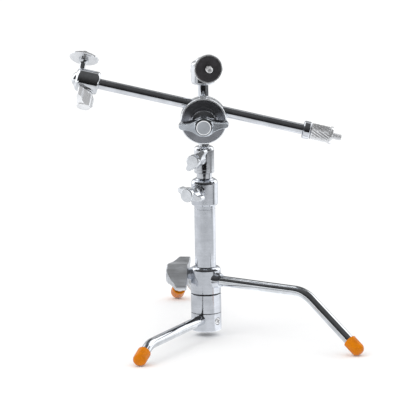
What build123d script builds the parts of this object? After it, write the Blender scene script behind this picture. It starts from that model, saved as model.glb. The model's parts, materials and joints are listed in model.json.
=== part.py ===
from build123d import *
import math
import os

# Miniature table-top C-stand: three swivelling bent legs on stacked rings, a
# three-stage column, a grip head that clamps a cross arm, and two small ball
# heads.  Millimetres, +Z up the column, -Y is the side the head handle faces,
# +X is the side of the arm's knurled grip.  The origin is the centre of the
# flat underside of the base, on the column axis.
# Pairs of numbers are (start, end) along an axis; azimuths are in degrees.

# ----------------------------------------------------------------- dimensions
FIT = 0.02                   # gap of fixed joints
RUN = 0.05                   # gap of running fits
FLOOR = -5.3                 # level the three rubber feet stand on

# Column
TUBE_OD, TUBE_ID, TUBE_TOP = 20.0, 17.4, 130.0
TUBE_GROOVE_Z = 117.1
RISER_OD, RISER_ID = 14.4, 12.0
RISER_LOW, RISER_TOP = 14.5, 161.0
ROD_D = 10.0                 # top rod, arm and legs
ROD_LOW, ROD_TOP = 21.0, 236.4
STUD_D, STUD_LEN = 6.35, 4.6                # quarter inch camera thread

# Leg rings, washers and sliding collar
RING_OD = 28.6
BOTTOM_RING = (0.0, 16.9)
LOWER_WASHER = (BOTTOM_RING[1], 17.3)
MIDDLE_RING = (17.35, 34.9)
UPPER_WASHER = (34.95, 36.0)
SLIDING_COLLAR = (36.05, 61.0)
COLLAR_BORE = 22.0
WASHER_BORE = TUBE_OD + 0.2

# Screw that fixes the bottom ring to the tube and its plug
FIX_AZIMUTH, FIX_Z = -41.0, 9.6
FIX_D, FIX_HEAD_D = 4.0, 7.0
FIX_INNER, FIX_HEAD_SEAT = 4.6, 12.3        # radii from the column axis

# Legs: height of the straight run, and radii of its inner end, the bend and
# the tip of the foot
FRONT_LEG = dict(azimuth=-114.4, height=11.4, inner_r=10.15, bend_at=131.0, foot_r=156.5)
BACK_LEG = dict(azimuth=99.0, height=27.0, inner_r=10.4, bend_at=129.0, foot_r=178.0)
RIGHT_LEG = dict(azimuth=-36.6, height=48.8, inner_r=11.35, bend_at=115.0, foot_r=180.0)
BEND_R = 30.0
FOOT_OD, FOOT_LEN, FOOT_ROUND, FOOT_WALL = 13.0, 17.0, 5.2, 2.6

# Lock collars on the column
LOWER_COLLAR, LOWER_OD, LOWER_BUSH_OD, LOWER_LIP = (120.4, 146.0), 25.2, 17.4, 1.6
UPPER_COLLAR, UPPER_OD, UPPER_BUSH_OD, UPPER_LIP = (151.2, 176.7), 19.0, 13.4, 1.5

# Grip head; disc and handle places are distances in front of the column axis
PIVOT_Z = 204.9
PIVOT_D = 6.0
JAW_D, JAW_BORE_R = 43.8, 3.1
JAW_RECESS_R, JAW_RECESS = 5.6, 2.0         # seats of the spring
REAR_JAW = (9.0, 15.0)
FRONT_JAW = (19.0, 25.0)
JAW_BOSS_END = 36.2
HANDLE_FACE = 57.3
CAP_H = 0.7
SPRING_PITCH, SPRING_LEN, SPRING_R, SPRING_WIRE_R = 1.9, 6.6, 4.6, 0.5

# Cross arm
ARM_Y = -17.0
ARM_Z = PIVOT_Z + 12.0
ARM_TILT = 13.6              # slope, grip end low
ARM_LEFT, ARM_RIGHT = -104.0, 93.3
SPIGOT_D = 6.0               # thin end that carries ring and grip

# Winged knobs: hub_d and hub_h size the hub, span is tip to tip; mid_t,
# edge_t and tip_t are wing thicknesses in the middle, at the hub edge and at
# the tip; root_h and tip_h are wing heights; the hub starts at step.
LOCK_SCREW_D = 6.0
SCREW_CLEARANCE_D = 6.1
SMALL_WINGS = dict(hub_d=13.2, span=27.0, mid_t=9.6, edge_t=7.6, tip_t=5.0)
LARGE_WINGS = dict(hub_d=17.6, span=47.0, mid_t=17.8, tip_t=6.0, tip_h=9.6)
SMALL_KNOB = dict(SMALL_WINGS, hub_h=12.8, root_h=9.4, tip_h=6.8, step=7.6)
LARGE_KNOB = dict(LARGE_WINGS, hub_h=20.4, edge_t=11.4, root_h=19.2)
BALL_KNOB = dict(SMALL_WINGS, hub_h=15.5, root_h=14.5, tip_h=8.6, step=2.0)

# Locks: distances from the column axis to the knob's face, to the surface
# the pad presses on (seat) and to the inner end of the knob's neck; turn is
# the angle of the wings about the spoke.
PAD_LEN = 2.0
BASE_LOCK = dict(azimuth=173.0, height=53.6, face=37.0, turn=-28.0,
                 seat=10.98, neck_d=9.4, neck_end=16.25, knob=LARGE_KNOB)
LOWER_LOCK = dict(azimuth=-121.0, height=134.8, face=33.8, turn=-17.7,
                  seat=RISER_OD / 2, neck_d=10.6, neck_end=15.4, knob=SMALL_KNOB)
UPPER_LOCK = dict(azimuth=-117.0, height=165.7, face=24.6, turn=48.0,
                  seat=ROD_D / 2, neck_d=10.4, neck_end=11.4, knob=SMALL_KNOB)
RECEIVER_LOCK = dict(azimuth=90.0, height=PIVOT_Z, face=25.6, turn=90.0,
                     seat=ROD_D / 2, neck_d=9.6, neck_end=10.9, knob=SMALL_KNOB)

# Ball heads, along the body from its base and along the stem from the ball
TOP_HEAD_AZIMUTH = -77.0     # stem direction, top head
LEFT_HEAD_ROLL = 35.0        # left ball head about the arm
BALL_R, BALL_Z = 7.75, 18.2
BALL_NECK_D = 6.6
BALL_BODY_R, BALL_BORE_R = 11.0, 7.9
BALL_SHOULDER_Z = 18.4
BALL_KNOB_Z = 9.6
CAVITY_R = BALL_R + RUN
CAVITY_FLOOR = 9.0
LIP_ANGLE = 62               # mouth of the cavity, from the body axis
PLATE_Z = 20.9               # seat of the platform on the stem

TOP, BOTTOM = -1, 0          # ends of a shape's edges grouped along Z


# -------------------------------------------------------------------- helpers
def rod(diameter, z0, z1):
    return Pos(0, 0, (z0 + z1) / 2) * Cylinder(diameter / 2, z1 - z0)


def tube(outer_d, inner_d, z0, z1):
    return rod(outer_d, z0, z1) - rod(inner_d, z0 - 1, z1 + 1)


def turned(points):
    """Solid of revolution about Z from (radius, height) points."""
    profile = Polyline(*[(r, 0, z) for r, z in points], close=True)
    return revolve(make_face(profile), Axis.Z)


def spoke(azimuth, height, radius=0.0):
    """Frame on a spoke: local Z outward, local Y up, local X anticlockwise."""
    a = math.radians(azimuth)
    out = (math.cos(a), math.sin(a), 0)
    return Plane(origin=(radius * out[0], radius * out[1], height),
                 x_dir=(-out[1], out[0], 0), z_dir=out).location


def spoke_of(spec):
    """Spoke of a leg or a lock."""
    return spoke(spec["azimuth"], spec["height"])


def chamfer_end(shape, end, size):
    return chamfer(shape.edges().group_by(Axis.Z)[end], size)


def outer_circles(ring):
    """Circular edges on the outside of a leg ring."""
    return ring.edges().filter_by(GeomType.CIRCLE).filter_by(lambda e: e.radius > 14)


def save(name, shape):
    solids = shape.solids()
    piece = solids[0] if len(solids) == 1 else Compound(children=list(solids))
    export_step(piece, "parts/" + name + ".step")


# --------------------------------------------------------------- winged knobs
def wing_outline(points, tip_x):
    """Closed wing outline: spline from the middle to a round tip, mirrored."""
    upper = Spline(*points, tangents=[(1, 0), (1, -0.04)])
    end = points[-1]
    tip = ThreePointArc(end, (tip_x, 0), (end[0], -end[1]))
    lower = Spline(*[(x, -y) for x, y in reversed(points)],
                   tangents=[(-1, -0.04), (-1, 0)])
    middle = Line((0, -points[0][1]), (0, points[0][1]))
    half = make_face([upper, tip, lower, middle])
    return half + mirror(half, Plane.YZ)


def wing_knob(hub_d, hub_h, span, mid_t, edge_t, tip_t, root_h, tip_h,
              neck_d, neck_len, screw_len, step=0.0):
    """Two-winged clamping knob.  Local Z points away from the stand, Z = 0 is
    the rear of the hub and Z = hub_h its face.  The hub narrows to the neck
    diameter below Z = step.  The neck and the steel screw cast into it run
    down from Z = 0."""
    reach = span / 2
    points = [(0, mid_t / 2), (hub_d / 2, edge_t / 2),
              (reach * 0.62, tip_t / 2 + 0.45), (reach - tip_t / 2, tip_t / 2)]
    front = extrude(wing_outline(points, reach), hub_h)
    root = hub_d / 2 * 0.8
    side = make_face(Polyline(
        (-reach - 1, 0.0), (reach + 1, 0.0), (reach + 1, tip_h - 0.4),
        (reach - 0.4, tip_h), (root, root_h), (-root, root_h),
        (-reach + 0.4, tip_h), (-reach - 1, tip_h - 0.4), close=True))
    side = extrude(Plane.XZ * side, hub_d, both=True)
    wings = front & side
    hub = chamfer_end(rod(hub_d, step, hub_h), TOP, 0.7)
    if step:
        hub = chamfer_end(hub, BOTTOM, 0.5)
        hub += rod(neck_d, 0, step + 0.2)
    body = wings + hub
    body += rod(neck_d, -neck_len, 0.02)
    screw = rod(LOCK_SCREW_D, -(neck_len + screw_len), 0)
    if screw_len > 1:
        screw = chamfer_end(screw, BOTTOM, 0.5)
    return body + screw


def lock(prefix, spec):
    """A winged knob on a spoke, its screw and the brass pad it pushes."""
    here = spoke_of(spec)
    start = spec["seat"] + RUN
    end = spec["seat"] + PAD_LEN
    save(prefix + "_pad", here * turned([
        (0, start), (2.4, start), (2.8, start + 0.4), (2.8, end), (0, end)]))
    rear = spec["face"] - spec["knob"]["hub_h"]
    knob = wing_knob(**spec["knob"], neck_d=spec["neck_d"],
                     neck_len=rear - spec["neck_end"],
                     screw_len=spec["neck_end"] - end - RUN)
    save(prefix + "_knob", here * (Pos(0, 0, rear) * (Rot(0, 0, spec["turn"]) * knob)))


# ----------------------------------------------------------------------- base
def base_tube():
    body = tube(TUBE_OD, TUBE_ID, 0.0, TUBE_TOP)
    groove = tube(TUBE_OD + 2, TUBE_OD - 0.5, TUBE_GROOVE_Z - 0.35, TUBE_GROOVE_Z + 0.35)
    hole = spoke(FIX_AZIMUTH, FIX_Z) * rod(FIX_D + 2 * FIT, 5, 16)
    save("base_tube", body - groove - hole)


def base_end_plug():
    plug = chamfer_end(rod(TUBE_ID - 2 * FIT, 0.0, 14.0), TOP, 0.8)
    hole = spoke(FIX_AZIMUTH, FIX_Z) * rod(FIX_D + 2 * FIT, FIX_INNER - 0.2, 16)
    save("base_end_plug", plug - hole)


def ring_fixing_screw():
    """Pan-head screw with a cross recess, its head let into the ring."""
    seat, head_r = FIX_HEAD_SEAT, FIX_HEAD_D / 2
    head = turned([(0, seat), (head_r, seat), (head_r, seat + 1.4),
                   (head_r - 0.8, seat + 2.3), (0, seat + 2.6)])
    shank = rod(FIX_D, FIX_INNER, seat + 0.1)
    recess = Pos(0, 0, seat + 2.3)
    cross = recess * Box(4.2, 0.9, 1.6) + recess * Box(0.9, 4.2, 1.6)
    screw = (head + shank) - Rot(0, 0, 20) * cross
    save("ring_fixing_screw", spoke(FIX_AZIMUTH, FIX_Z) * screw)


# ----------------------------------------------------------------- legs, feet
def leg_and_foot(name, azimuth, height, inner_r, bend_at, foot_r):
    # The slope and the height of the foot tip depend on each other, so they
    # are settled by iteration until the rounded foot touches the floor.
    run = foot_r - bend_at
    slope = math.atan2(height - FLOOR - 4.5, run)
    flat_r = FOOT_OD / 2 - FOOT_ROUND
    for _ in range(20):
        tip_z = (FLOOR + FOOT_ROUND + flat_r * math.cos(slope)
                 - FOOT_ROUND * math.sin(slope))
        slope = math.atan2(height - tip_z, run)
    down = (math.cos(slope), 0, -math.sin(slope))
    end = (foot_r - FOOT_WALL * down[0], 0, tip_z - FOOT_WALL * down[2])
    path = FilletPolyline((inner_r, 0, height), (bend_at, 0, height), end, radius=BEND_R)
    leg = sweep(Plane(origin=path @ 0, z_dir=path % 0) * Circle(ROD_D / 2), path=path)
    foot_here = Plane(origin=(foot_r, 0, tip_z), x_dir=(0, 1, 0), z_dir=down).location
    foot = rod(FOOT_OD, -FOOT_LEN, 0)
    foot = fillet(foot.edges().group_by(Axis.Z)[TOP], FOOT_ROUND)
    foot = fillet(foot.edges().group_by(Axis.Z)[BOTTOM], 0.8)
    foot -= rod(ROD_D + 2 * FIT, -FOOT_LEN - 1, -FOOT_WALL + FIT)
    turn = Rot(0, 0, azimuth)
    save(name + "_leg", turn * leg)
    save(name + "_foot", turn * (foot_here * foot))


def leg_socket(leg, end=16.0):
    return spoke_of(leg) * rod(ROD_D + 2 * FIT, 4, end)


# ---------------------------------------------------------- rings and washers
def bottom_leg_ring():
    ring = tube(RING_OD, TUBE_OD + 2 * FIT, *BOTTOM_RING)
    ring = chamfer(outer_circles(ring).group_by(Axis.Z)[BOTTOM], 0.9)
    ring -= leg_socket(FRONT_LEG)
    ring -= spoke(FIX_AZIMUTH, FIX_Z) * (
        rod(FIX_D + 2 * RUN, 9, 16) + rod(FIX_HEAD_D + 0.3, FIX_HEAD_SEAT - RUN, 18))
    save("bottom_leg_ring", ring)


def middle_leg_ring():
    ring = tube(RING_OD, TUBE_OD + 2 * RUN, *MIDDLE_RING)
    ring = chamfer(outer_circles(ring), 0.25)
    save("middle_leg_ring", ring - leg_socket(BACK_LEG))


def friction_washers():
    save("lower_friction_washer", tube(RING_OD - 0.9, WASHER_BORE, *LOWER_WASHER))
    save("upper_friction_washer", tube(RING_OD - 1.4, WASHER_BORE, *UPPER_WASHER))


def collar_liner():
    """Nylon liner, split on one side, that runs on the tube in the collar."""
    liner = tube(21.9, TUBE_OD + 2 * RUN, 36.3, 58.4)
    liner -= spoke(60.0, 47.0, 10.0) * Box(1.0, 30, 6)
    save("collar_liner", liner)


def sliding_leg_collar():
    """Collar with a round shoulder, a lock knob boss and a leg socket."""
    r, bore_r, lip_r = RING_OD / 2, COLLAR_BORE / 2, 10.3
    low, high = SLIDING_COLLAR
    collar = turned([
        (bore_r, low), (r - 0.3, low), (r, low + 0.3), (r, 57.9), (r - 0.3, 58.9),
        (r - 1.0, 59.9), (r - 1.9, 60.6), (r - 2.9, high),
        (lip_r, high), (lip_r, 58.6), (bore_r, 58.6)])
    knob_boss = turned([(0, 10), (7.0, 10), (7.0, 12.4), (5.6, 15.2),
                        (5.2, 16.2), (0, 16.2)])
    leg_boss = turned([(0, 10), (8.4, 10), (8.4, 12.8), (6.5, 17.6),
                       (6.1, 18.2), (0, 18.2)])
    bore = rod(COLLAR_BORE, 30, 64)
    collar += spoke_of(BASE_LOCK) * knob_boss - bore
    collar += spoke_of(RIGHT_LEG) * leg_boss - bore
    collar -= leg_socket(RIGHT_LEG, 30)
    collar -= spoke_of(BASE_LOCK) * rod(SCREW_CLEARANCE_D, 4, 20)
    # The bosses are trimmed flush with the ends of the collar.
    save("sliding_leg_collar", collar & rod(80, low, high))


# --------------------------------------------------------------- lock collars
def lower_lock_collar():
    """Collar fixed on the tube top, and the bush that guides the riser."""
    r, fit_r, mouth_r = LOWER_OD / 2, TUBE_OD / 2 + FIT, RISER_OD / 2 + 0.35
    low, high = LOWER_COLLAR
    bush_r, lip_z, seat_z = LOWER_BUSH_OD / 2 + FIT, high - LOWER_LIP, TUBE_TOP + FIT
    collar = turned([
        (fit_r, low), (r - 1.2, low), (r - 0.35, low + 0.4), (r, low + 1.2),
        (r, high - 4.8), (r - 0.25, high - 3.5), (r - 0.9, high - 2.3),
        (r - 1.8, high - 1.4), (r - 3.0, high - 0.8), (r - 4.2, high),
        (mouth_r, high), (mouth_r, lip_z), (bush_r, lip_z),
        (bush_r, seat_z), (fit_r, seat_z)])
    boss = turned([(0, 9), (6.9, 9), (6.9, 13.0), (6.3, 13.4), (6.3, 14.0),
                   (6.9, 14.4), (6.9, 14.8), (6.4, 15.2), (0, 15.2)])
    collar += spoke_of(LOWER_LOCK) * boss - rod(20.2, 110, 153)
    hole = spoke_of(LOWER_LOCK) * rod(SCREW_CLEARANCE_D, 5, 20)
    save("lower_lock_collar", collar - hole)
    bush = tube(LOWER_BUSH_OD, RISER_OD + 2 * RUN, TUBE_TOP + RUN, lip_z - RUN)
    save("lower_guide_bush", bush - hole)


def upper_lock_collar():
    """Collar fixed on the riser top, and the bush that guides the top rod."""
    r, fit_r, mouth_r = UPPER_OD / 2, RISER_OD / 2 + FIT, ROD_D / 2 + 0.3
    low, high = UPPER_COLLAR
    bush_r, lip_z, seat_z = UPPER_BUSH_OD / 2 + FIT, high - UPPER_LIP, RISER_TOP + FIT
    collar = turned([
        (fit_r, low), (r - 0.5, low), (r, low + 0.5), (r, low + 3.2),
        (r - 0.18, low + 3.4), (r, low + 3.6), (r, high - 3.4),
        (r - 0.22, high - 2.2), (r - 0.8, high - 1.2), (r - 1.7, high - 0.45),
        (r - 2.7, high - 0.1), (r - 3.2, high), (mouth_r, high),
        (mouth_r, lip_z), (bush_r, lip_z), (bush_r, seat_z), (fit_r, seat_z)])
    boss = turned([(0, 6), (6.0, 6), (6.0, 10.4), (5.5, 11.1), (0, 11.1)])
    collar += spoke_of(UPPER_LOCK) * boss - rod(16.0, 140, 185)
    hole = spoke_of(UPPER_LOCK) * rod(SCREW_CLEARANCE_D, 3.5, 16)
    save("upper_lock_collar", collar - hole)
    bush = tube(UPPER_BUSH_OD, ROD_D + 2 * RUN, seat_z + RUN, lip_z - RUN)
    save("upper_guide_bush", bush - hole)


# ---------------------------------------------------------- riser and top rod
def riser():
    body = tube(RISER_OD, RISER_ID, RISER_LOW, RISER_TOP)
    groove = tube(RISER_OD + 2, RISER_OD - 0.4, 15.5, 16.5)
    save("riser_tube", body - groove)
    save("riser_foot_bush", tube(TUBE_ID - 2 * RUN, RISER_OD + 2 * RUN,
                                 RISER_LOW + 0.2, RISER_LOW + 12.0))


def top_rod():
    body = chamfer(rod(ROD_D, ROD_LOW, ROD_TOP).edges(), 0.4)
    body += rod(STUD_D, ROD_TOP - 1, ROD_TOP + STUD_LEN)
    save("top_rod", body)
    save("rod_foot_bush", tube(RISER_ID - 2 * RUN, ROD_D + 2 * RUN,
                               ROD_LOW + 0.6, ROD_LOW + 10.0))


# ------------------------------------------------------------------ grip head
SPINDLE = spoke(-90.0, PIVOT_Z)              # local Z towards the handle
TILT = Pos(0, 0, PIVOT_Z) * Rot(0, ARM_TILT, 0) * Pos(0, 0, -PIVOT_Z)


def head_receiver():
    low, high, bore_r = PIVOT_Z - 12.5, PIVOT_Z + 16.5, ROD_D / 2 + RUN
    barrel = turned([(bore_r, low), (7.6, low), (8.4, low + 0.8),
                     (8.4, high - 0.8), (7.6, high), (bore_r, high)])
    flange = turned([(0, 0), (11.0, 0), (12.0, 6.0), (12.0, 8.9), (0, 8.9)])
    back_boss = Rot(0, 180, 0) * turned([(0, 0), (6.8, 0), (6.8, 10.0),
                                         (6.2, 10.6), (0, 10.6)])
    body = barrel + SPINDLE * (flange + back_boss) - rod(
        2 * bore_r, PIVOT_Z - 20, PIVOT_Z + 20)
    body -= SPINDLE * rod(PIVOT_D + 2 * FIT, 5.4, 12)
    body -= SPINDLE * rod(SCREW_CLEARANCE_D, -14, -4)
    save("head_receiver", body)


def pivot_bolt():
    save("pivot_bolt", SPINDLE * chamfer(rod(PIVOT_D, 5.5, 51.5).edges(), 0.4))


def jaw_discs():
    """Two discs with a half-round groove for the arm."""
    arm_groove = Pos(0, ARM_Y, ARM_Z) * (Rot(0, 90, 0) * Cylinder(ROD_D / 2 + RUN, 60))
    r, bore_r, recess_r = JAW_D / 2, JAW_BORE_R, JAW_RECESS_R
    near, far = REAR_JAW
    rear = turned([
        (bore_r, near), (r - 0.9, near), (r, near + 0.9), (r, far - 0.5),
        (r - 0.5, far), (recess_r, far), (recess_r, far - JAW_RECESS),
        (bore_r, far - JAW_RECESS)])
    near, far = FRONT_JAW
    front = turned([
        (bore_r, near + JAW_RECESS), (recess_r, near + JAW_RECESS),
        (recess_r, near), (r - 0.5, near), (r, near + 0.5), (r, far - 0.8),
        (r - 0.3, far - 0.25), (r - 0.9, far), (r - 1.6, far),
        (r - 1.9, far - 0.25), (13.4, far - 0.25), (12.9, far + 0.2),
        (12.6, far + 1.2), (12.5, far + 7.6), (12.2, far + 8.9),
        (11.4, far + 9.9), (10.2, far + 10.5), (8.8, JAW_BOSS_END),
        (bore_r, JAW_BOSS_END)])
    save("rear_jaw_disc", TILT * (SPINDLE * rear - arm_groove))
    save("front_jaw_disc", TILT * (SPINDLE * front - arm_groove))


def jaw_spring():
    helix = Helix(pitch=SPRING_PITCH, height=SPRING_LEN, radius=SPRING_R)
    coil = sweep(Plane(origin=helix @ 0, z_dir=helix % 0) * Circle(SPRING_WIRE_R),
                 path=helix)
    save("jaw_spring", TILT * (SPINDLE * (Pos(0, 0, REAR_JAW[1] - 1.3) * coil)))


def head_handle():
    """Thrust washer, winged handle and the cap on its face."""
    z = JAW_BOSS_END
    save("thrust_washer", SPINDLE * turned([
        (JAW_BORE_R, z + FIT), (8.0, z + FIT), (8.2, z + 0.3), (8.0, z + 0.9),
        (JAW_BORE_R, z + 0.9)]))
    rear = JAW_BOSS_END + 1.0
    height = HANDLE_FACE - CAP_H - rear
    handle = wing_knob(**LARGE_WINGS, hub_h=height, edge_t=11.0, root_h=height - 1.2,
                       neck_d=15.0, neck_len=0.01, screw_len=0.01)
    handle -= rod(PIVOT_D + 0.1, -1, 16.0)
    save("head_handle", SPINDLE * (Pos(0, 0, rear) * (Rot(0, 0, 1.4) * handle)))
    cap_z = rear + height + FIT
    save("handle_cap", SPINDLE * turned([
        (0, cap_z), (7.0, cap_z), (6.85, HANDLE_FACE - 0.35),
        (6.5, HANDLE_FACE - 0.1), (6.1, HANDLE_FACE), (0, HANDLE_FACE)]))


# ------------------------------------------------------------------------ arm
def cross_arm():
    """Arm rod, end ring, grip and stud, along local Z towards the grip."""
    here = TILT * Plane(origin=(0, ARM_Y, ARM_Z), x_dir=(0, 0, 1),
                        z_dir=(1, 0, 0)).location
    end = ARM_RIGHT
    shaft = chamfer(rod(ROD_D, ARM_LEFT, end).edges(), 0.4)
    shaft += rod(STUD_D, ARM_LEFT - STUD_LEN, ARM_LEFT + 1)
    shaft += rod(SPIGOT_D, end - 1, end + 13.0)
    save("arm_rod", here * shaft)

    ring_bore_r = SPIGOT_D / 2 + FIT
    save("arm_end_ring", here * turned([
        (ring_bore_r, end + FIT), (7.7, end + FIT), (8.5, end + 0.8),
        (8.5, end + 6.0), (7.7, end + 6.8), (ring_bore_r, end + 6.8)]))

    # Grip: start, the shoulder before its end flange, and end
    start, flange, tip = end + 6.9, end + 25.4, end + 28.4
    bore_r, bore_end = 3.07, start + 8.8
    save("knurled_grip", here * turned([
        (bore_r, start), (6.4, start), (6.6, start + 0.4), (7.8, start + 1.1),
        (7.8, flange - 0.5), (7.3, flange - 0.1), (7.3, flange), (8.1, flange),
        (8.5, flange + 0.4), (8.5, tip - 0.4), (8.1, tip), (3.2, tip),
        (3.2, bore_end), (bore_r, bore_end)]))

    stud = chamfer_end(rod(STUD_D, tip + RUN, end + 36.8), TOP, 0.7)
    save("arm_end_stud", here * (stud + rod(5.8, start + 9.4, tip + 1)))


# ----------------------------------------------------------------- ball heads
# Local Z runs up the body from its base, the 90 degree slot is towards +X and
# the clamping knob towards -X.  The stem lies in the slot.
KNOB_SIDE = Plane(origin=(0, 0, BALL_KNOB_Z), x_dir=(0, -1, 0), z_dir=(-1, 0, 0)).location
STEM_SIDE = Plane(origin=(0, 0, BALL_Z), x_dir=(0, 1, 0), z_dir=(1, 0, 0)).location


def cavity_point(degrees):
    """Point of the ball cavity's profile, by angle from the body axis."""
    a = math.radians(degrees)
    return (CAVITY_R * math.sin(a), 0, BALL_Z + CAVITY_R * math.cos(a))


def ball_head_body():
    r, bore_r, shoulder = BALL_BODY_R, BALL_BORE_R, BALL_SHOULDER_Z
    lip = cavity_point(LIP_ANGLE)
    rim = (lip[0] + 0.3, 0, lip[2] + 0.5)
    equator, cavity_low = (CAVITY_R, 0, BALL_Z), (CAVITY_R, 0, CAVITY_FLOOR)
    profile = [
        Line((bore_r, 0, 0), (8.8, 0, 0)),
        ThreePointArc((8.8, 0, 0), (10.36, 0, 0.64), (r, 0, 2.2)),
        Line((r, 0, 2.2), (r, 0, shoulder)),
        ThreePointArc((r, 0, shoulder), (10.5, 0, shoulder + 1.6),
                      (9.3, 0, shoulder + 2.7)),
        Line((9.3, 0, shoulder + 2.7), rim),
        Line(rim, lip),
        ThreePointArc(lip, cavity_point(76), equator),
        Line(equator, cavity_low),
        Line(cavity_low, (bore_r, 0, 8.5)),
        Line((bore_r, 0, 8.5), (bore_r, 0, 0))]
    body = revolve(make_face(profile), Axis.Z)
    slot_w = BALL_NECK_D + 0.6
    body -= Pos(6.5, 0, BALL_Z + 6) * Box(13, slot_w, 12)
    body -= Pos(6.5, 0, BALL_Z) * (Rot(0, 90, 0) * Cylinder(slot_w / 2, 13))
    boss = turned([(0, 8.5), (6.4, 8.5), (6.4, 10.9), (5.9, 11.4), (0, 11.4)])
    body += KNOB_SIDE * boss - rod(2 * bore_r, -1, 18)
    body -= KNOB_SIDE * rod(SCREW_CLEARANCE_D, 4, 14)
    return body


def brake_shoe():
    shoe = rod(2 * (CAVITY_R - 0.03), 6.6, 14.6) - Pos(0, 0, BALL_Z) * Sphere(CAVITY_R)
    shoe -= KNOB_SIDE * rod(6.4, 3.9, 12)
    return shoe


def ball_head_knob(turn):
    knob = wing_knob(**BALL_KNOB, neck_d=10.4, neck_len=0.35, screw_len=4.2)
    knob = Pos(0, 0, 12.0) * (Rot(0, 0, turn) * knob)
    knob += turned([(0, 4.4), (0.9, 4.4), (2.6, 6.6), (2.6, 8.0), (0, 8.0)])
    return KNOB_SIDE * knob


def ball_and_stem():
    neck_r = BALL_NECK_D / 2
    stem = turned([
        (0, 6.0), (neck_r, 6.0), (neck_r, 8.4), (2.9, 11.0), (2.9, 16.4),
        (neck_r, 17.6), (4.8, 19.0), (4.8, PLATE_Z), (2.5, PLATE_Z),
        (2.5, PLATE_Z + 1.2), (0, PLATE_Z + 1.2)])
    return STEM_SIDE * (Sphere(BALL_R) + stem)


def platform():
    z = PLATE_Z
    return STEM_SIDE * turned([
        (2.55, z + 0.03), (9.5, z + 0.03), (13.0, z + 0.5), (13.75, z + 1.1),
        (13.75, z + 2.1), (13.4, z + 2.5), (12.35, z + 2.5), (12.35, z + 2.0),
        (3.25, z + 2.0), (3.25, z + 1.3), (2.55, z + 1.3)])


def platform_pad():
    z = PLATE_Z
    return STEM_SIDE * turned([
        (3.3, z + 2.02), (12.3, z + 2.02), (12.3, z + 2.9), (12.0, z + 3.2),
        (3.3, z + 3.2)])


def platform_screw():
    screw = chamfer_end(rod(STUD_D, PLATE_Z + 3.25, PLATE_Z + 8.2), TOP, 0.7)
    return STEM_SIDE * (screw + rod(5.8, PLATE_Z + 1.32, PLATE_Z + 4))


def ball_head(prefix, here, knob_turn):
    plug = tube(2 * (BALL_BORE_R - FIT), STUD_D + 2 * FIT, 0.0, 5.2)
    for name, shape in (
            ("body", ball_head_body()), ("base_plug", plug),
            ("brake_shoe", brake_shoe()), ("knob", ball_head_knob(knob_turn)),
            ("ball", ball_and_stem()), ("platform", platform()),
            ("pad", platform_pad()), ("screw", platform_screw())):
        save(prefix + "_" + name, here * shape)


# ---------------------------------------------------------------------- build
os.makedirs("parts", exist_ok=True)

base_tube()
base_end_plug()
ring_fixing_screw()
leg_and_foot("front", **FRONT_LEG)
leg_and_foot("back", **BACK_LEG)
leg_and_foot("right", **RIGHT_LEG)
bottom_leg_ring()
middle_leg_ring()
friction_washers()
collar_liner()
sliding_leg_collar()
lower_lock_collar()
upper_lock_collar()
riser()
top_rod()
lock("base_lock", BASE_LOCK)
lock("lower_lock", LOWER_LOCK)
lock("upper_lock", UPPER_LOCK)
lock("receiver_lock", RECEIVER_LOCK)
head_receiver()
pivot_bolt()
jaw_discs()
jaw_spring()
head_handle()
cross_arm()

stem_angle = math.radians(TOP_HEAD_AZIMUTH)
ball_head("top_head", Plane(
    origin=(0, 0, ROD_TOP + 0.03),
    x_dir=(math.cos(stem_angle), math.sin(stem_angle), 0),
    z_dir=(0, 0, 1)).location, knob_turn=-67.0)
roll = math.radians(LEFT_HEAD_ROLL)
ball_head("left_head", TILT * Plane(
    origin=(ARM_LEFT - 0.03, ARM_Y, ARM_Z),
    x_dir=(0, math.sin(roll), math.cos(roll)),
    z_dir=(-1, 0, 0)).location, knob_turn=35.0)
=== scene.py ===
"""Chromed stand with three legs, a riser column and a side arm with a knurled grip.

It stands on the floor with its column on the Z axis. The front is -Y and the right
is +X. Lengths are in metres unless a name or comment says mm. This script gives
them materials, swaps some for detailed meshes, and adds the floor, the lights and
the camera.
"""
import bpy
import bmesh
import json
import math
from mathutils import Matrix, Vector


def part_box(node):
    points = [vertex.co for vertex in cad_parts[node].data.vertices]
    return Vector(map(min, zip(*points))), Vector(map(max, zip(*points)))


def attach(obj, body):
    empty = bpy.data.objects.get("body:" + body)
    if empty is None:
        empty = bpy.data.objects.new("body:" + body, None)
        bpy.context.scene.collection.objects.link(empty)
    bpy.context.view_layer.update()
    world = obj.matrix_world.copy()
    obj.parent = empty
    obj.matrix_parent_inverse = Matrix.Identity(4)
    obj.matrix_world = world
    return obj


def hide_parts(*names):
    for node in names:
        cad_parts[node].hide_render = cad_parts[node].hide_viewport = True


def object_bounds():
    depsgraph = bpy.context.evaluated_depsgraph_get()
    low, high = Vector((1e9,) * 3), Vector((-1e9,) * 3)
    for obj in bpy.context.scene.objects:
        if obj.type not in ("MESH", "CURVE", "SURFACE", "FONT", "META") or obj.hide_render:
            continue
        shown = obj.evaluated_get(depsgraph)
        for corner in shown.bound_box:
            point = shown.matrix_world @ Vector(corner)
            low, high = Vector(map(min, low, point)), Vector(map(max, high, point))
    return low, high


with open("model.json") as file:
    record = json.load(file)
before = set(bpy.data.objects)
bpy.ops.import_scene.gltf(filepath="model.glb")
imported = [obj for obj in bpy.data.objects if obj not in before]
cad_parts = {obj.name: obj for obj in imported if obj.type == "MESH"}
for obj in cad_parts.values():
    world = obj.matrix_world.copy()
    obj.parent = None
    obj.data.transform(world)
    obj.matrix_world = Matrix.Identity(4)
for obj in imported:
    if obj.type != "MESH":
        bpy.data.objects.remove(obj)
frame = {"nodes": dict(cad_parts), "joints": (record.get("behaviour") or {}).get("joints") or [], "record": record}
cad_low, cad_high = [list(v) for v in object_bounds()]
nodes = frame["nodes"]
scene = bpy.context.scene

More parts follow.
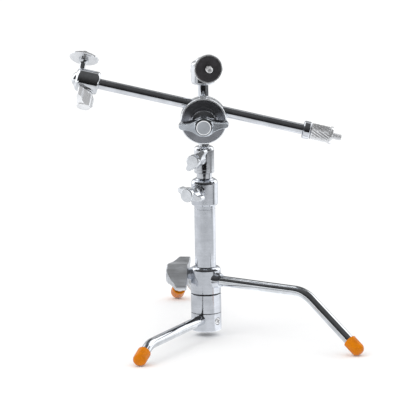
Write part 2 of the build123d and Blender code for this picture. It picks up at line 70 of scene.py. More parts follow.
MM = 0.001
COLUMN = Vector((0, 0, 0))
UP = Vector((0, 0, 1))
FRONT = Vector((0, -1, 0))


def unit(vector):
    return Vector(vector).normalized()


def find_joint(name):
    return next(j for j in frame["joints"] if j["name"] == name)


def joint_line(name):
    """A point on a joint's axis, and the axis direction."""
    joint = find_joint(name)
    return Vector(joint["pos_m"]), unit(joint["axis"])


ARM_AT, ARM_DIR = joint_line("grip_turn")
KNOB_AT, KNOB_DIR = joint_line("base_lock_knob_turn")
PIVOT = Vector(find_joint("arm_tilt")["pos_m"])


# ------------------------------------------------------------ shader building
class Value:
    """A node output that takes part in plain arithmetic: each +, - or *
    adds one Math node."""

    def __init__(self, graph, socket):
        self.graph = graph
        self.socket = socket

    def __add__(self, other):
        return self.graph.math("ADD", self, other)

    def __radd__(self, other):
        return self.graph.math("ADD", other, self)

    def __sub__(self, other):
        return self.graph.math("SUBTRACT", self, other)

    def __rsub__(self, other):
        return self.graph.math("SUBTRACT", other, self)

    def __mul__(self, other):
        return self.graph.math("MULTIPLY", self, other)


class Graph:
    """Builds a node tree. Kinds are given without their ShaderNode prefix."""

    def __init__(self, tree):
        self.tree = tree
        self.tree.nodes.clear()

    def node(self, kind, inputs=None, **props):
        node = self.tree.nodes.new("ShaderNode" + kind)
        for key, value in props.items():
            setattr(node, key, value)
        for key, value in (inputs or {}).items():
            self.put(node, key, value)
        return node

    def put(self, node, key, value):
        """Link or set an input. Colours are given as red, green, blue."""
        socket = node.inputs[key]
        if isinstance(value, Value):
            self.tree.links.new(value.socket, socket)
        elif socket.type == "RGBA":
            socket.default_value = (*value, 1.0)
        else:
            socket.default_value = value

    def value(self, node, output=0):
        return Value(self, node.outputs[output])

    def add(self, kind, inputs=None, output=0, **props):
        return self.value(self.node(kind, inputs, **props), output)

    def math(self, operation, a, b=0.0, clamp=False):
        return self.add("Math", {0: a, 1: b}, operation=operation, use_clamp=clamp)

    def vector(self, operation, a, b=(0, 0, 0)):
        """Vector maths. Dot product and length give a number, the rest a vector."""
        output = 1 if operation in ("DOT_PRODUCT", "LENGTH") else 0
        return self.add("VectorMath", {0: a, 1: b}, output, operation=operation)

    def scale(self, vector, factor):
        return self.add("VectorMath", {0: vector, "Scale": factor}, operation="SCALE")

    def ramp(self, factor, stops):
        """Grey colour ramp; stops are (position, level)."""
        node = self.node("ValToRGB", {0: factor})
        elements = node.color_ramp.elements
        while len(elements) < len(stops):
            elements.new(0.5)
        for element, (position, level) in zip(elements, stops):
            element.position = position
            element.color = (level, level, level, 1)
        return self.value(node)

    def ease(self, value, over, to=(0.0, 1.0)):
        """Smooth step between the two values of `to` as value crosses `over`."""
        node = self.node("MapRange", {0: value, 1: over[0], 2: over[1], 3: to[0], 4: to[1]})
        node.interpolation_type = "SMOOTHSTEP"
        return self.value(node)

    def mix(self, factor, a, b):
        """Colour a at factor 0, colour b at factor 1."""
        return self.add("Mix", {0: factor, 6: a, 7: b}, output=2, data_type="RGBA")

    def noise(self, source, scale, detail, rough, dims="3D"):
        key = "W" if dims == "1D" else "Vector"
        return self.add("TexNoise", {key: source, "Scale": scale, "Detail": detail,
                                     "Roughness": rough}, noise_dimensions=dims)

    def bearing(self, split):
        """Angle about Z from the front, positive to the right."""
        return self.math("ARCTAN2", self.value(split, 0), self.value(split, 1) * -1.0)


def new_material(name):
    made = bpy.data.materials.new(name)
    made.use_nodes = True
    return made, Graph(made.node_tree)


def principled(name):
    made, graph = new_material(name)
    output = graph.node("OutputMaterial")
    bsdf = graph.node("BsdfPrincipled")
    graph.put(output, 0, graph.value(bsdf))
    return made, graph, bsdf


def shade(colour, gain, lift=0.0):
    return tuple(min(1.0, c * gain + lift) for c in colour)


def arc(start, end):
    """A range given in degrees, as radians."""
    return math.radians(start), math.radians(end)


def worn_edges(graph, radius):
    """1 on corners, where a bevelled normal leaves the true one; and that normal."""
    bevel = graph.add("Bevel", {"Radius": radius}, samples=4)
    normal = graph.add("NewGeometry", output="Normal")
    facing = graph.vector("DOT_PRODUCT", bevel, normal)
    return graph.ease(1.0 - facing, over=(0.02, 0.25)), bevel


def metal(name, tint, rough, at=COLUMN, axis=UP, lathe=0.0, peel=0.0, aniso=0.0,
          swirl=0.0, edge=0.00035, grime=0.35, dull=0.0, metallic=1.0, quiet=1.0,
          streak=0.0, polish=None, painted_highlight_rim=None, painted_streaks_and_relief=0.0):
    """Plated metal turned about the line through `at` along `axis`.

    lathe: turning marks       peel: waviness           aniso: stretched highlights
    swirl: fine grain          edge: worn corner radius grime: dirt in corners
    dull: cloudy roughness     quiet: gain on relief    streak: rings of darker tint
    polish: (inner, outer) radii of the face that keeps its roughness
    rim: radius beyond which it turns pale and less metallic, a painted edge highlight
    drawn: lines along the axis, darker in tint as painted reflection streaks, and raised in relief
    """
    made, graph, bsdf = principled(name)
    noise, ease, mix = graph.noise, graph.ease, graph.mix
    place = graph.add("TexCoord", output="Object")
    offset = graph.vector("SUBTRACT", place, at)
    along = graph.vector("DOT_PRODUCT", offset, axis)
    radial = graph.vector("SUBTRACT", offset, graph.scale(axis, along))
    radius = graph.vector("LENGTH", radial)
    turned = along + radius * 1.37      # varies on both barrels and end faces

    cloud = noise(place, scale=85.0, detail=3.0, rough=0.55)
    fine = noise(place, scale=900.0, detail=2.0, rough=0.6)
    stretched = graph.add("Mapping", {"Vector": place, "Rotation": (0.4, 0.7, 0.3),
                                      "Scale": (2600, 90, 300)})
    scratch = graph.ramp(noise(stretched, scale=1.0, detail=2.0, rough=0.5),
                         stops=[(0.0, 0.0), (0.63, 0.0), (0.70, 1.0)])
    rings = noise(turned, scale=5200.0, detail=2.0, rough=0.6, dims="1D")
    bands = noise(turned, scale=420.0, detail=2.0, rough=0.5, dims="1D")
    wear, bevel = worn_edges(graph, edge)
    open_air = graph.add("AmbientOcclusion", {"Distance": 0.0016}, output="AO", samples=4)
    dirt = graph.ramp(open_air, stops=[(0.0, 1.0), (0.55, 0.0)]) * grime
    dirt = dirt * ease(cloud, over=(0.3, 0.65), to=(0.45, 1.0))

    # colour: cloudy tint, darker bands, bright corners, brown-black dirt
    base = mix(ease(cloud, over=(0.3, 0.72)), shade(tint, gain=0.86), shade(tint, gain=1.06))
    base = mix(ease(bands, over=(0.35, 0.7)) * (0.10 + lathe), base, shade(tint, gain=0.80))
    base = mix(wear * 0.55, base, (0.93, 0.93, 0.94))
    base = mix(dirt, base, (0.055, 0.052, 0.048))
    if streak:
        circles = noise(radius * 700.0, scale=9.0, detail=3.0, rough=0.6, dims="1D")
        base = mix(ease(circles, over=(0.3, 0.7)) * streak, base, shade(tint, gain=0.7))
    if painted_streaks_and_relief:
        # the pattern is squeezed to 0.04 along the axis, which draws it into lines; darkening the tint along them
        # paints reflection streaks
        flow = graph.vector("ADD", radial, graph.scale(axis, along * 0.04))
        lines = noise(flow, scale=1500.0, detail=3.0, rough=0.6)
        base = mix(ease(lines, over=(0.35, 0.65)) * painted_streaks_and_relief, base, shade(tint, gain=0.62))
    # past this radius the tint turns pale and less metallic: a painted highlight on the outer edge
    if painted_highlight_rim:
        band = ease(radius, over=(painted_highlight_rim - 0.0002, painted_highlight_rim + 0.0001))
        base = mix(band, base, (0.86, 0.88, 0.91))
        metallic = metallic - band * 0.25
    graph.put(bsdf, "Base Color", base)
    graph.put(bsdf, "Metallic", metallic)

    # roughness: raised by clouds, scratches, wear and dirt
    roughness = (rough + ease(cloud, over=(0.35, 0.8)) * (0.05 + dull)
                 + scratch * 0.10 + wear * 0.08)
    roughness = graph.math("ADD", roughness, dirt * 0.35, clamp=True)
    if polish:
        inner, outer = polish
        blend = 0.0001                  # half the width of the soft border
        face = (ease(radius, over=(inner - blend, inner + blend))
                * ease(radius, over=(outer - blend, outer + blend), to=(1.0, 0.0)))
        roughness = roughness * face + (1.0 - face) * 0.07
    graph.put(bsdf, "Roughness", roughness)
    if aniso:
        graph.put(bsdf, "Anisotropic", aniso)
        tangent = graph.add("VectorTransform", {0: radial}, vector_type="VECTOR",
                            convert_from="OBJECT", convert_to="WORLD")
        graph.put(bsdf, "Tangent", graph.vector("NORMALIZE", tangent))

    # relief: turning rings and grain stand up, scratches cut in
    height = (rings * ((0.25 + lathe * 3) * quiet) + fine * ((0.05 + swirl) * quiet)
              + scratch * (-0.10 * quiet))
    if painted_streaks_and_relief:
        height = height + lines * 0.9
    marks = graph.add("Bump", {"Strength": 0.10 + lathe * 0.4, "Distance": 0.00002,
                               "Height": height, "Normal": bevel})
    waves = graph.add("Bump", {
        "Strength": 0.5, "Distance": 0.00003 + peel * 0.0004,
        "Height": noise(place, scale=260.0, detail=2.0, rough=0.5), "Normal": marks})
    graph.put(bsdf, "Normal", waves)
    return made


def rubber(name, base, deep, rough, grain, bump, sheen, cracks=0.0, spec=0.45):
    """Moulded rubber: base mottled with deep, rubbed edges, dark corners.

    grain is the texture scale, bump its depth; cracks adds pale specks.
    """
    made, graph, bsdf = principled(name)
    noise, ease, mix = graph.noise, graph.ease, graph.mix
    place = graph.add("TexCoord", output="Object")
    cloud = noise(place, scale=120.0, detail=4.0, rough=0.6)
    spot = noise(place, scale=grain, detail=3.0, rough=0.65)
    wear, bevel = worn_edges(graph, 0.0006)
    colour = mix(ease(cloud, over=(0.3, 0.7)), base, deep)
    colour = mix(ease(spot, over=(0.52, 0.75)) * (0.35 + cracks), colour,
                 shade(base, gain=1.5, lift=0.01))
    colour = mix(wear * 0.35, colour, shade(base, gain=1.35, lift=0.015))
    open_air = graph.add("AmbientOcclusion", {"Distance": 0.003}, output="AO", samples=4)
    colour = mix(graph.ramp(open_air, stops=[(0.0, 0.6), (0.6, 0.0)]), colour,
                 shade(deep, gain=0.35))
    graph.put(bsdf, "Base Color", colour)
    graph.put(bsdf, "Roughness", graph.math(
        "ADD", rough, ease(cloud, over=(0.3, 0.8)) * 0.16, clamp=True))
    graph.put(bsdf, "Specular IOR Level", spec)
    graph.put(bsdf, "Sheen Weight", sheen)
    graph.put(bsdf, "Sheen Roughness", 0.4)
    cells = graph.add("TexVoronoi", {"Vector": place, "Scale": grain * 1.4})
    height = spot * 0.7 + cells * 0.5
    graph.put(bsdf, "Normal", graph.add("Bump", {
        "Strength": 0.6, "Distance": bump, "Height": height, "Normal": bevel}))
    return made


def plastic(name, base, rough):
    return rubber(name, base, shade(base, gain=0.85), rough, grain=700.0,
                  bump=0.00003, sheen=0.0)


BLUISH = (0.735, 0.755, 0.80)           # tint of the base tube and rings
METALS = {
    "chrome_tube": dict(tint=BLUISH, rough=0.09, lathe=0.10, dull=0.02),
    "chrome_ring": dict(tint=BLUISH, rough=0.08, lathe=0.12, dull=0.02),
    "chrome_column": dict(tint=(0.74, 0.755, 0.785), rough=0.04, lathe=0.04),
    "chrome_arm": dict(at=ARM_AT, axis=ARM_DIR, tint=(0.74, 0.755, 0.79), rough=0.035,
                       lathe=0.02),
    "chrome_leg": dict(tint=(0.75, 0.765, 0.79), rough=0.05, swirl=0.1),
    # the disc and the cap get a painted pale highlight band at their outer edge
    "turned_disc": dict(at=PIVOT, axis=FRONT, tint=(0.60, 0.61, 0.65), rough=0.30,
                        lathe=0.05, aniso=0.95, quiet=0.03, streak=0.30,
                        polish=(0.0129, 0.0201), painted_highlight_rim=0.0205),
    "satin_cap": dict(at=PIVOT, axis=FRONT, tint=(0.47, 0.50, 0.54), rough=0.38,
                      lathe=0.03, metallic=0.45, streak=0.15, painted_highlight_rim=0.0062),
    "chrome_cast": dict(tint=(0.77, 0.79, 0.82), rough=0.10, peel=0.2, edge=0.0007,
                        metallic=0.82),
    "chrome_handle": dict(tint=(0.54, 0.57, 0.61), rough=0.11, peel=0.05, edge=0.0007,
                          quiet=0.4),
    # the base knob's lines along its axis: painted reflection streaks in the tint, and relief
    "satin_cast": dict(at=KNOB_AT, axis=KNOB_DIR, tint=(0.76, 0.78, 0.81), rough=0.30,
                       edge=0.0007, metallic=0.80, painted_streaks_and_relief=0.45),
    "chrome_head": dict(tint=(0.75, 0.765, 0.79), rough=0.045, peel=0.05),
    "chrome_knurl": dict(at=ARM_AT, axis=ARM_DIR, tint=(0.88, 0.885, 0.90), rough=0.15,
                         grime=0.45, metallic=0.76),
    "chrome_small": dict(tint=(0.88, 0.89, 0.91), rough=0.07, peel=0.1, edge=0.0005,
                         metallic=0.55),
    "chrome_plate": dict(tint=(0.82, 0.83, 0.85), rough=0.08, peel=0.05, metallic=0.72),
    "zinc_steel": dict(tint=(0.84, 0.845, 0.86), rough=0.12, lathe=0.1, grime=0.8,
                       dull=0.05, metallic=0.60),
    "spring_steel": dict(tint=(0.38, 0.38, 0.39), rough=0.28, dull=0.1),
    "brass_turned": dict(tint=(0.62, 0.45, 0.20), rough=0.2, lathe=0.2, dull=0.08),
}
RUBBERS = {
    "orange_rubber": dict(base=(0.66, 0.198, 0.0005), deep=(0.52, 0.146, 0.0003),
                          rough=0.16, grain=600.0, bump=0.00002, sheen=0.0, spec=0.18),
    "black_rubber": dict(base=(0.026, 0.024, 0.028), deep=(0.014, 0.013, 0.015),
                         rough=0.55, grain=950.0, bump=0.00016, sheen=0.15, cracks=0.3),
}
PLASTICS = {
    "nylon": dict(base=(0.62, 0.61, 0.58), rough=0.42),
    "black_nylon": dict(base=(0.018, 0.018, 0.02), rough=0.45),
    "black_plastic": dict(base=(0.022, 0.022, 0.024), rough=0.5),
}
MATERIALS = {
    name: make(name, **settings)
    for make, table in ((metal, METALS), (rubber, RUBBERS), (plastic, PLASTICS))
    for name, settings in table.items()}

PIECES = {                              # material: CAD pieces that wear it
    "chrome_tube": "base_tube",
    "chrome_ring": "bottom_leg_ring middle_leg_ring sliding_leg_collar lower_lock_collar",
    "chrome_column": "riser_tube upper_lock_collar top_rod",
    "chrome_leg": "front_leg back_leg right_leg",
    "orange_rubber": "front_foot back_foot right_foot",
    "black_plastic": "base_end_plug",
    "black_nylon": "lower_friction_washer upper_friction_washer",
    "nylon": "collar_liner lower_guide_bush upper_guide_bush riser_foot_bush rod_foot_bush",
    "zinc_steel": "pivot_bolt thrust_washer arm_end_stud",
    "spring_steel": "jaw_spring",
    "turned_disc": "front_jaw_disc rear_jaw_disc",
    "satin_cap": "handle_cap",
    "chrome_arm": "arm_rod arm_end_ring",
    "chrome_knurl": "knurled_grip",
    "chrome_handle": "head_handle",
    "satin_cast": "base_lock_knob",
}
LOOKS = {piece: look for look, pieces in PIECES.items() for piece in pieces.split()}
# for the other pieces, the first name ending that fits
ENDINGS = (("_head_knob", "chrome_small"), ("_knob", "chrome_cast"),
           ("lock_pad", "brass_turned"), ("brake_shoe", "brass_turned"),
           ("_pad", "black_rubber"), ("_screw", "zinc_steel"),
           ("_platform", "chrome_plate"))


def look_of(piece):
    if piece in LOOKS:
        return LOOKS[piece]
    return next((look for ending, look in ENDINGS if piece.endswith(ending)), "chrome_head")


for name, obj in nodes.items():
    obj.data.materials.clear()
    obj.data.materials.append(MATERIALS[look_of(name)])


# --------------------------------------------------- cast pieces: soft corners
def cast_skin(obj, voxel):
    remesh = obj.modifiers.new("skin", "REMESH")
    remesh.mode = "VOXEL"
    remesh.voxel_size = voxel
    remesh.use_smooth_shade = True
    soften = obj.modifiers.new("soft", "SMOOTH")
    soften.factor = 0.5
    soften.iterations = 7


for name, obj in nodes.items():
    if name in ("base_lock_knob", "head_handle"):
        cast_skin(obj, voxel=0.34 * MM)
    elif name.endswith("_knob"):
        cast_skin(obj, voxel=0.25 * MM)


# --------------------------------------------------------------- mesh building
def link_mesh(name, bm, mat):
    """Turn a finished bmesh into an object in the scene."""
    bmesh.ops.recalc_face_normals(bm, faces=bm.faces)
    mesh = bpy.data.meshes.new(name)
    bm.to_mesh(mesh)
    bm.free()
    obj = bpy.data.objects.new(name, mesh)
    scene.collection.objects.link(obj)
    mesh.materials.append(mat)
    return obj


def smooth(obj, crease):
    """Smooth shading; edges of `crease` degrees or more stay sharp."""
    bm = bmesh.new()
    bm.from_mesh(obj.data)
    for face in bm.faces:
        face.smooth = True
    for edge in bm.edges:
        if len(edge.link_faces) == 2:
            edge.smooth = edge.calc_face_angle(0) < math.radians(crease)
    bm.to_mesh(obj.data)
    bm.free()


def stand_in(obj, crease, piece, body):
    """Shade a detailed mesh and put it in place of a CAD piece."""
    smooth(obj, crease)
    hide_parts(piece)
    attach(obj, body)


def join_rings(bm, rings):
    """Quads between successive closed rings of points; returns their vertices."""
    grid = [[bm.verts.new(point) for point in ring] for ring in rings]
    for lower, upper in zip(grid, grid[1:]):
        for i in range(len(lower)):
            j = (i + 1) % len(lower)
            bm.faces.new((lower[i], lower[j], upper[j], upper[i]))
    return grid


def turns(segments):
    return [2 * math.pi * i / segments for i in range(segments)]


def lathe_mesh(name, at, axis, row_count, section, segments, mat, capped):
    """Turned surface with relief; section(angle, row) gives (radius, height)."""
    z = unit(axis)
    x = (UP if abs(z.z) < 0.9 else Vector((1, 0, 0))).cross(z).normalized()
    y = z.cross(x)

    def point(angle, row):
        radius, height = section(angle, row)
        return at + z * height + (x * math.cos(angle) + y * math.sin(angle)) * radius

    bm = bmesh.new()
    grid = join_rings(bm, [[point(angle, row) for angle in turns(segments)]
                           for row in range(row_count)])
    if capped:
        for ring, flip in ((grid[0], True), (grid[-1], False)):
            middle = bm.verts.new(sum((v.co for v in ring), Vector()) / segments)
            for i in range(segments):
                j = (i + 1) % segments
                pair = (ring[j], ring[i]) if flip else (ring[i], ring[j])
                bm.faces.new((*pair, middle))
    return link_mesh(name, bm, mat)


def triangle_wave(phase):
    """1 at whole phases, 0 halfway between."""
    return abs((phase % 1.0) * 2 - 1)


def axis_span(node, at, axis):
    """Reach of a CAD node along an axis through a point."""
    direction = unit(axis)
    heights = [(v.co - at).dot(direction) for v in nodes[node].data.vertices]
    return min(heights), max(heights)


# ------------------------------------------------------------------------ legs
BEND_R = 30.0 * MM                      # centre line radius of the bend
LEG_SIDES = 96
INNER_STEPS, BEND_STEPS, OUTER_STEPS = 24, 40, 12


def lower_end(points, out):
    """Direction of the leg's lower run and the centre of its end face.

    The end face is square to the run, so the right slope is the one with
    the most points level with the farthest.
    """
    best_face = []
    for i in range(1, 900):
        slope = math.radians(i * 0.1)
        direction = out * math.cos(slope) - UP * math.sin(slope)
        reach = [p.dot(direction) for p in points]
        top = max(reach)
        face = [p for p, r in zip(points, reach) if r > top - 0.00001]
        if len(face) > len(best_face):
            best_face, best_direction = face, direction
    centre = sum(best_face, Vector()) / len(best_face)
    return best_direction, out * centre.dot(out) + UP * centre.z


def leg_line(inner, end, direction, out):
    """Centre line: level run outwards, one bend, straight run down to the foot."""
    bend = out.angle(direction)
    run = (end - inner).dot(out) - (inner.z - end.z) / math.tan(bend)
    corner = inner + out * run
    start = corner - out * (BEND_R * math.tan(bend / 2))
    centre = start - UP * BEND_R
    line = [inner.lerp(start, i / INNER_STEPS) for i in range(INNER_STEPS + 1)]
    for i in range(1, BEND_STEPS + 1):
        angle = bend * i / BEND_STEPS
        line.append(centre + (out * math.sin(angle) + UP * math.cos(angle)) * BEND_R)
    bend_end = line[-1]
    line += [bend_end.lerp(end, i / OUTER_STEPS) for i in range(1, OUTER_STEPS + 1)]
    return line


def swept_leg(name, body):
    """Round bar laid on the centre line found from the CAD leg's end faces."""
    points = [v.co.copy() for v in nodes[name].data.vertices]
    foot_low, foot_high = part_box(name.replace("_leg", "_foot"))
    foot = (Vector(foot_low) + Vector(foot_high)) / 2
    out = Vector((foot.x, foot.y, 0)).normalized()
    reach = [p.dot(out) for p in points]
    inner_heights = [p.z for p, r in zip(points, reach) if r < min(reach) + 0.00002]
    low, high = min(inner_heights), max(inner_heights)
    bar_r = (high - low) / 2
    inner = out * min(reach) + Vector((0, 0, (high + low) / 2))
    direction, end = lower_end(points, out)
    line = leg_line(inner, end, direction, out)
    side = UP.cross(out).normalized()
    rings = []
    for i, point in enumerate(line):
        ahead = line[min(i + 1, len(line) - 1)] - line[max(i - 1, 0)]
        normal = side.cross(ahead.normalized()).normalized()
        rings.append([point + (side * math.cos(a) + normal * math.sin(a)) * bar_r
                      for a in turns(LEG_SIDES)])
    bm = bmesh.new()
    grid = join_rings(bm, rings)
    bm.faces.new(grid[0])
    bm.faces.new(grid[-1][::-1])
    bar = link_mesh(name + "_bar", bm, MATERIALS["chrome_leg"])
    stand_in(bar, 40, name, body)


for name, body in (("front_leg", "base"), ("back_leg", "middle_leg"),
                   ("right_leg", "right_leg")):
    swept_leg(name, body)

# --------------------------------------------------------------- knurled grip
GRIP_START, GRIP_END = axis_span("knurled_grip", ARM_AT, ARM_DIR)
BARREL_END = GRIP_END - 3.0 * MM        # the flange fills the rest
BARREL_R = 7.8 * MM
KNURL_INSET = 1.0 * MM                  # from each barrel end to the knurled rows
KNURL_ROWS = 151
KNURL_STARTS = 18                       # helical grooves each way
KNURL_TURN = math.tan(math.radians(26))

# profile stations in mm: (offset along the arm, radius)
START_RIM = ((0, 3.3), (0, 6.4), (0.4, 6.9))            # from GRIP_START
NECK = ((-0.5, 7.5), (-0.15, 7.1), (0.02, 7.1), (0.06, 8.0), (0.45, 8.5))  # BARREL_END
FLANGE_RIM = ((-0.45, 8.5), (-0.1, 8.1), (0, 7.9), (0, 5.2), (-0.35, 4.4),
              (-0.35, 3.3))                             # from GRIP_END


def stations(origin, table):
    return [(origin + offset * MM, radius * MM) for offset, radius in table]


def knurl_radius(angle, height):
    """Crossed helical grooves leave rows of four-sided points."""
    twist = height / BARREL_R * KNURL_TURN
    shallow = triangle_wave((angle + twist) * KNURL_STARTS / (2 * math.pi))
    deep = triangle_wave((angle - twist) * KNURL_STARTS / (2 * math.pi))
    fade = min(1.0, (height - GRIP_START) / (1.8 * MM), (BARREL_END - height) / (1.6 * MM))
    cut = max(0.22 * shallow, 0.95 * deep)              # groove depth in mm
    return BARREL_R + 0.05 * MM - MM * cut * max(0.0, fade)


def knurled_grip():
    first = GRIP_START + KNURL_INSET
    run = BARREL_END - KNURL_INSET - first
    profile = stations(GRIP_START, START_RIM)
    profile += [(first + run * i / (KNURL_ROWS - 1), None) for i in range(KNURL_ROWS)]
    profile += stations(BARREL_END, NECK) + stations(GRIP_END, FLANGE_RIM)

    def section(angle, row):
        height, radius = profile[row]
        return (knurl_radius(angle, height) if radius is None else radius), height

    grip = lathe_mesh("knurled_grip_relief", ARM_AT, ARM_DIR, len(profile), section,
                      segments=480, mat=MATERIALS["chrome_knurl"], capped=False)
    stand_in(grip, 50, "knurled_grip", "grip")


knurled_grip()

# --------------------------------------------------------------------- threads
MOUNTS = {m["name"]: m for m in frame["record"]["mounts"]}
THREAD_R = MOUNTS["arm_end_stud"]["dims"]["r_mm"] * MM
PITCH = 1.27 * MM
THREAD_DEPTH = 0.62 * PITCH
ROWS_PER_PITCH = 10
CHAMFER = 0.7 * MM
FLANK_GAIN, ROOT_CUT = 1.35, 0.12       # flatten the crests and the roots
SOCKET_FLATS = 3.3 * MM                 # hexagon width across flats
STUD_OVERLAP = 1.2 * MM                 # how far the stud starts inside the grip


def threaded(name, at, axis, length, piece, body, socket=False):
    """Machine thread from `at` to a chamfered end, with an optional
    hexagon socket in the end face."""
    steps = int(length / PITCH * ROWS_PER_PITCH)
    land = THREAD_R - CHAMFER

    def thread(angle, height):
        phase = height / PITCH - angle / (2 * math.pi)
        relief = min(1.0, max(0.0, triangle_wave(phase) * FLANK_GAIN - ROOT_CUT))
        lead = (length - height) / CHAMFER
        return min(THREAD_R - THREAD_DEPTH * (1 - relief),
                   THREAD_R - CHAMFER * max(0.0, 1 - lead))

    def section(angle, row):
        if row <= steps:
            height = length * row / steps
            return thread(angle, height), height
        from_flat = (angle % (math.pi / 3)) - math.pi / 6
        hexagon = SOCKET_FLATS / 2 / math.cos(from_flat)
        return ((land, length),                                     # end land
                (min(hexagon + 0.12 * MM, land * 0.97), length),    # socket rim
                (hexagon, length - 0.15 * MM),                      # wall
                (hexagon * 0.98, length - 1.7 * MM),                # floor
                )[row - steps - 1]

    row_count = steps + 1 + (4 if socket else 0)
    screw = lathe_mesh(name, at, axis, row_count, section, segments=96,
                       mat=MATERIALS["zinc_steel"], capped=True)
    stand_in(screw, 60, piece, body)


stud_end = axis_span("arm_end_stud", ARM_AT, ARM_DIR)[1]
threaded("arm_end_thread", ARM_AT + ARM_DIR * (GRIP_END - STUD_OVERLAP), ARM_DIR,
         stud_end - GRIP_END + STUD_OVERLAP, "arm_end_stud", "grip")
for head in ("top_head", "left_head"):
    at, axis = joint_line(head + "_platform_spin")
    start, end = axis_span(head + "_screw", at, axis)
    threaded(head + "_thread", at + axis * start, axis, end - start, head + "_screw",
             head + "_platform", socket=True)

# ----------------------------------------------------------------------- floor
FLOOR_TOP = cad_low[2] - 0.00002        # a hair below the feet
FLOOR_HALF_WIDTH = 2.6
FLOOR_FRONT, FLOOR_BACK = -0.74, 6.0
FLOOR_EDGE_R = 0.01
FLOOR_THICKNESS = 0.03


def table_reflection(graph, place, soft):
    """Brightness that polished metal sees in the table, by distance and
    bearing from the column."""
    ease = graph.ease
    right = graph.bearing(graph.node("SeparateXYZ", {0: place}))
    flat = graph.vector("LENGTH", graph.vector("MULTIPLY", place, (1, 1, 0)))
    near = ease(flat, over=(0.30, 0.42), to=(1.0, 0.0))
    far = ease(flat, over=(0.74, 0.98))
    band = ease(flat, over=(0.58, 0.63)) * ease(flat, over=(0.80, 0.88), to=(1.0, 0.0))
    outer = ease(flat, over=(1.32, 1.50))
    middle = 1.0 - near - far
    under = ease(flat, over=(0.02, 0.16), to=(1.0, 0.0))
    left = right * -1.0

    level = 0.70 + far * -0.46 + under * 0.12
    look = graph.add("NewGeometry", output="Incoming")
    steep = ease(graph.add("SeparateXYZ", {0: look}, output=2), over=(0.30, 0.70))
    level = level + steep * 0.20
    # zone, side, rise and fall in degrees from the front, share left after
    # the fall, gain
    patches = [
        ease(side, over=arc(*rise)) * ease(side, over=arc(*fall), to=(1.0, rest)) * gain * zone
        for zone, side, rise, fall, rest, gain in (
            (near, right, (54, 66), (112, 130), 0.28, 0.42),
            (middle, right, (92, 108), (130, 150), 0.45, 0.60),
            (band, right, (74, 78), (84, 88), 0.0, -0.50),
            (outer, right, (45, 65), (140, 160), 0.0, 0.90),
            (far, right, (46, 54), (132, 142), 0.0, -0.10),
            (far, right, (136, 146), (156, 170), 0.4, 0.32),
            (middle, left, (40, 70), (150, 172), 0.0, 0.12),
            (far, left, (30, 50), (150, 172), 0.1, 0.52),
            (far, left, (84, 104), (150, 172), 0.1, 0.40))]
    for patch in patches:
        level = level + patch
    return level * ease(soft, over=(0.2, 0.8), to=(0.96, 1.04))


def pale_table():
    """Diffuse and finely grained; glossy rays see a painted glow instead."""
    made, graph = new_material("pale_table")
    output = graph.node("OutputMaterial")
    place = graph.add("NewGeometry", output="Position")
    grain = graph.noise(place, scale=900.0, detail=2.0, rough=0.5)
    soft = graph.noise(place, scale=3.0, detail=2.0, rough=0.5)
    colour = graph.mix(graph.ease(soft, over=(0.3, 0.7)), (0.90, 0.90, 0.905),
                       (0.93, 0.93, 0.93))
    bump = graph.add("Bump", {"Strength": 0.05, "Distance": 0.0001, "Height": grain})
    diffuse = graph.add("BsdfDiffuse", {"Color": colour, "Normal": bump})
    level = table_reflection(graph, place, soft)
    glow = graph.add("Emission", {"Color": (0.955, 0.975, 1.0), "Strength": level})
    is_glossy = graph.add("LightPath", output="Is Glossy Ray")
    graph.put(output, 0, graph.add("MixShader", {0: is_glossy, 1: diffuse, 2: glow}))
    return made


def studio_floor():
    """Table top: flat slab with a rounded upper front edge."""
    arc_y = FLOOR_FRONT + FLOOR_EDGE_R
    profile = [(FLOOR_BACK, 0.0), (arc_y, 0.0)]         # (y, height)
    for i in range(1, 9):
        angle = math.pi / 2 * i / 8
        profile.append((arc_y - FLOOR_EDGE_R * math.sin(angle),
                        -FLOOR_EDGE_R + FLOOR_EDGE_R * math.cos(angle)))
    profile += [(FLOOR_FRONT, -FLOOR_THICKNESS), (FLOOR_BACK, -FLOOR_THICKNESS)]
    bm = bmesh.new()
    left, right = [[bm.verts.new((x, y, FLOOR_TOP + z)) for y, z in profile]
                   for x in (-FLOOR_HALF_WIDTH, FLOOR_HALF_WIDTH)]
    for i in range(len(profile)):
        j = (i + 1) % len(profile)
        bm.faces.new((left[i], left[j], right[j], right[i]))
    bm.faces.new(left[::-1])
    bm.faces.new(right)
    link_mesh("studio_floor", bm, pale_table())


studio_floor()


# ----------------------------------------------------------------------- world
def room_level(graph):
    """Brightness of the room that polished metal sees, by direction."""
    ease = graph.ease
    split = graph.node("SeparateXYZ", {0: graph.add("TexCoord", output="Generated")})
    bearing = graph.bearing(split)
    turn = graph.math("ABSOLUTE", bearing)
    elevation = graph.math("ARCSINE", graph.value(split, 2))
    # dark room, a little lighter towards the ceiling and on the left
    room = ease(elevation, over=arc(-15, 75), to=(0.012, 0.10))
    room = room + ease(bearing, over=arc(-100, -60), to=(1.0, 0.0)) * 0.05
    # backdrop behind, with brighter and taller panels at both ends
    top = ease(turn, over=arc(150, 176), to=arc(60, 27))
    wide = ease(turn, over=arc(102, 108))
    tall = ease(top - elevation, over=arc(-3, 4))
    backdrop = wide * tall * ease(turn, over=arc(146, 158), to=(1.55, 0.42))
    # low strip around both sides
    strip = ease(turn, over=arc(26, 44), to=(0.0, 1.4)) * (
        ease(elevation, over=arc(-10, -7)) * ease(elevation, over=arc(1, 6), to=(1.0, 0.0)))
    room = room + strip * ease(turn, over=arc(96, 104), to=(1.0, 0.0))
    return backdrop + room


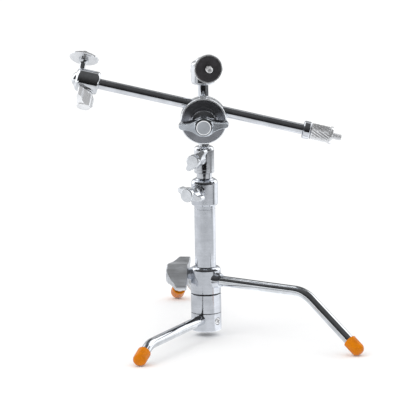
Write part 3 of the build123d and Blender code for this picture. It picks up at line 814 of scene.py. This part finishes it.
def studio_world():
    """The room for glossy rays, plain white for the camera and for lighting."""
    world = bpy.data.worlds.new("studio")
    scene.world = world
    world.use_nodes = True
    graph = Graph(world.node_tree)
    output = graph.node("OutputWorld")
    level = room_level(graph)
    path = graph.node("LightPath")
    room = graph.add("Background", {"Color": (0.97, 0.985, 1.0), "Strength": level})
    fill = graph.add("Background", {"Color": (1, 1, 1), "Strength": 1.12})
    white = graph.add("Background", {"Color": (1, 1, 1), "Strength": 1.0})
    lighting = graph.add("MixShader", {0: graph.value(path, "Is Glossy Ray"),
                                       1: fill, 2: room})
    graph.put(output, 0, graph.add("MixShader", {
        0: graph.value(path, "Is Camera Ray"), 1: lighting, 2: white}))


def key_light():
    """Soft square light from the upper front left, unseen in reflections."""
    data = bpy.data.lights.new("key", "AREA")
    data.shape = "RECTANGLE"
    data.size = data.size_y = 1.4
    data.energy = 9.0
    data.color = (1.0, 0.99, 0.97)
    lamp = bpy.data.objects.new("key", data)
    scene.collection.objects.link(lamp)
    place = Vector((-1.6, -1.0, 2.2))
    lamp.location = place
    lamp.rotation_mode = "QUATERNION"
    lamp.rotation_quaternion = (Vector((0, 0, 0.1)) - place).to_track_quat("-Z", "Y")
    lamp.visible_glossy = False
    lamp.visible_camera = False


studio_world()
key_light()

# ---------------------------------------------------------------------- camera
CAM_RISE = math.radians(11.3)           # elevation above level
CAM_ROLL = math.radians(0.8)
CAM_DISTANCE = 12.0
CAM_TARGET = Vector((0, 0, 0.138))
CAM_LENS_MM = 1144.8
CAM_SHIFT = (-0.01125427, -0.03476963)  # in frame widths


def studio_camera():
    """Long lens from the front, slightly raised and rolled."""
    toward = Vector((0, -math.cos(CAM_RISE), math.sin(CAM_RISE)))
    level_x = Vector((1, 0, 0))
    level_y = Vector((0, math.sin(CAM_RISE), math.cos(CAM_RISE)))
    x = level_x * math.cos(CAM_ROLL) - level_y * math.sin(CAM_ROLL)
    y = level_x * math.sin(CAM_ROLL) + level_y * math.cos(CAM_ROLL)
    data = bpy.data.cameras.new("camera")
    camera = bpy.data.objects.new("camera", data)
    scene.collection.objects.link(camera)
    scene.camera = camera
    data.sensor_width = 36.0
    data.lens = CAM_LENS_MM
    data.shift_x, data.shift_y = CAM_SHIFT
    data.clip_start, data.clip_end = 0.1, 100
    pose = Matrix((x, y, toward)).transposed().to_4x4()
    pose.translation = CAM_TARGET + toward * CAM_DISTANCE
    camera.matrix_world = pose


studio_camera()
scene.view_settings.view_transform = "Standard"
scene.view_settings.look = "None"
scene.cycles.use_denoising = True
scene.cycles.max_bounces = 10
scene.cycles.glossy_bounces = 8
scene.cycles.diffuse_bounces = 3
